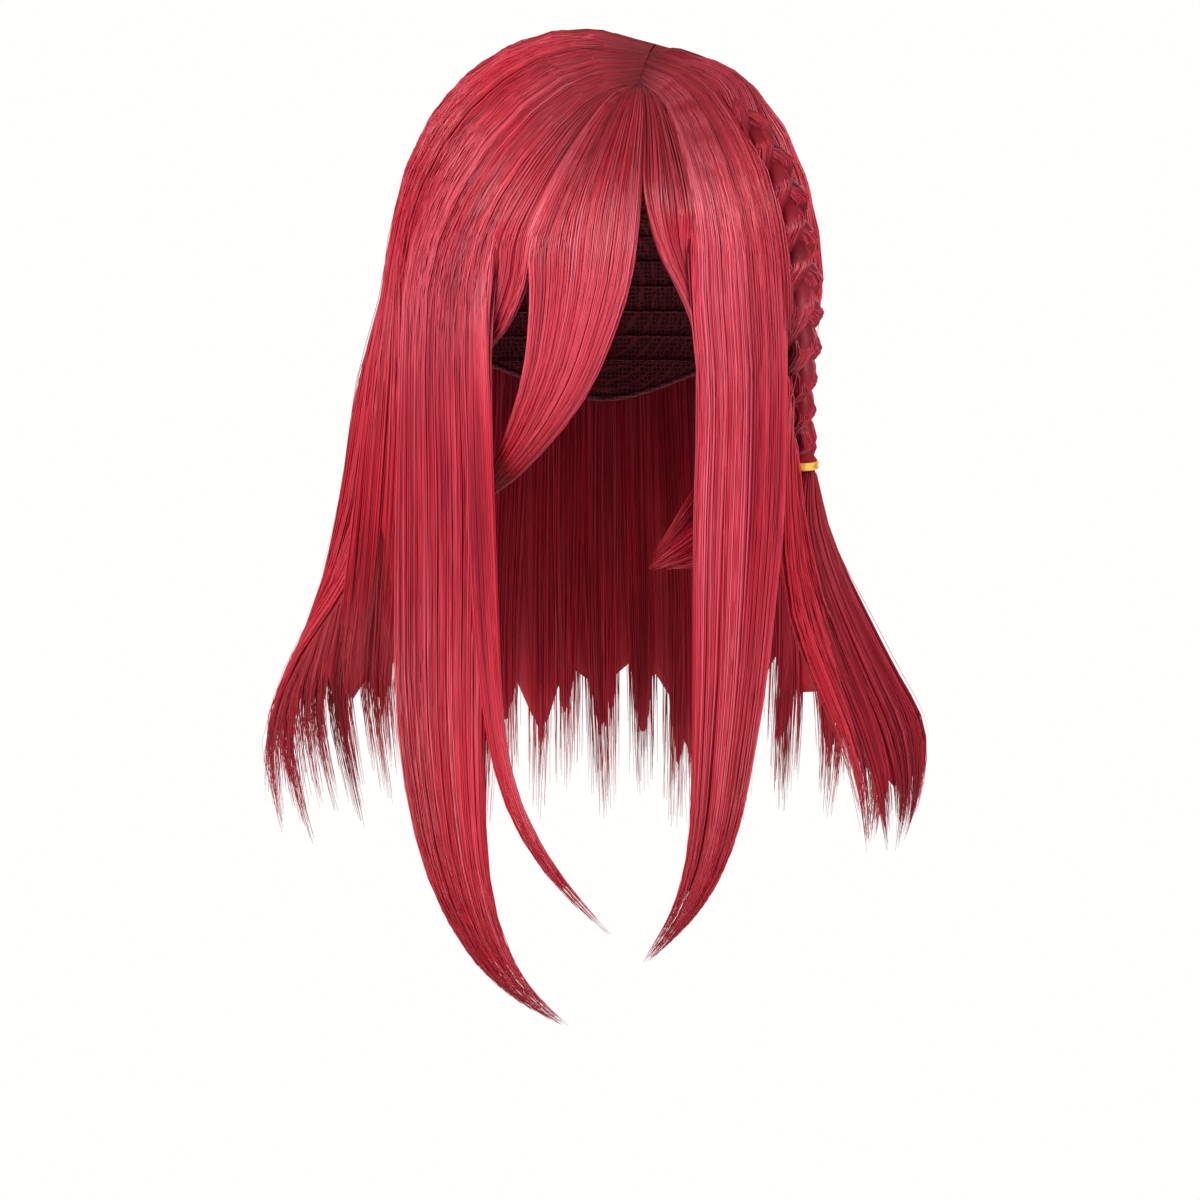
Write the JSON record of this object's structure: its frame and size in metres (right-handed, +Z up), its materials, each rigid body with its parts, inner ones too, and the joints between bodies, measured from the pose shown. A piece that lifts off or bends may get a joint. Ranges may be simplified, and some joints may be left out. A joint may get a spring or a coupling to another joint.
{
  "type": "long wig",
  "caption": "Long straight wig on a head cap, with a swept fringe, long front locks, layered back hair and a braid on one side tied with an elastic band.",
  "frame": {"origin": "the inside of the cap's crown, where the wearer's head bears", "axes": "+Z up, -Y towards the face, +X to the side with the braid, which is the viewer's right from the front"},
  "size_m": [0.3006, 0.226, 0.4278],
  "materials": {
    "net": "fine dark red knitted wig net",
    "hair": "glossy straight synthetic hair, deep rose red",
    "shaded_hair": "glossy straight synthetic hair, darker red in the layers behind",
    "braid_hair": "glossy synthetic hair, plaited in three strands, dark red in its creases",
    "elastic": "small yellow elastic band"
  },
  "bodies": {
    "root": {"cap": "net", "fringe": "hair", "side_lock_left": "hair", "side_lock_right": "hair", "short_layer_left": "shaded_hair", "back_hair_left": "shaded_hair", "back_hair_middle": "shaded_hair", "back_hair_right": "shaded_hair", "braid_feed": "hair", "braid": "braid_hair", "braid_band": "elastic", "braid_tail": "braid_hair"}
  },
  "joints": []
}
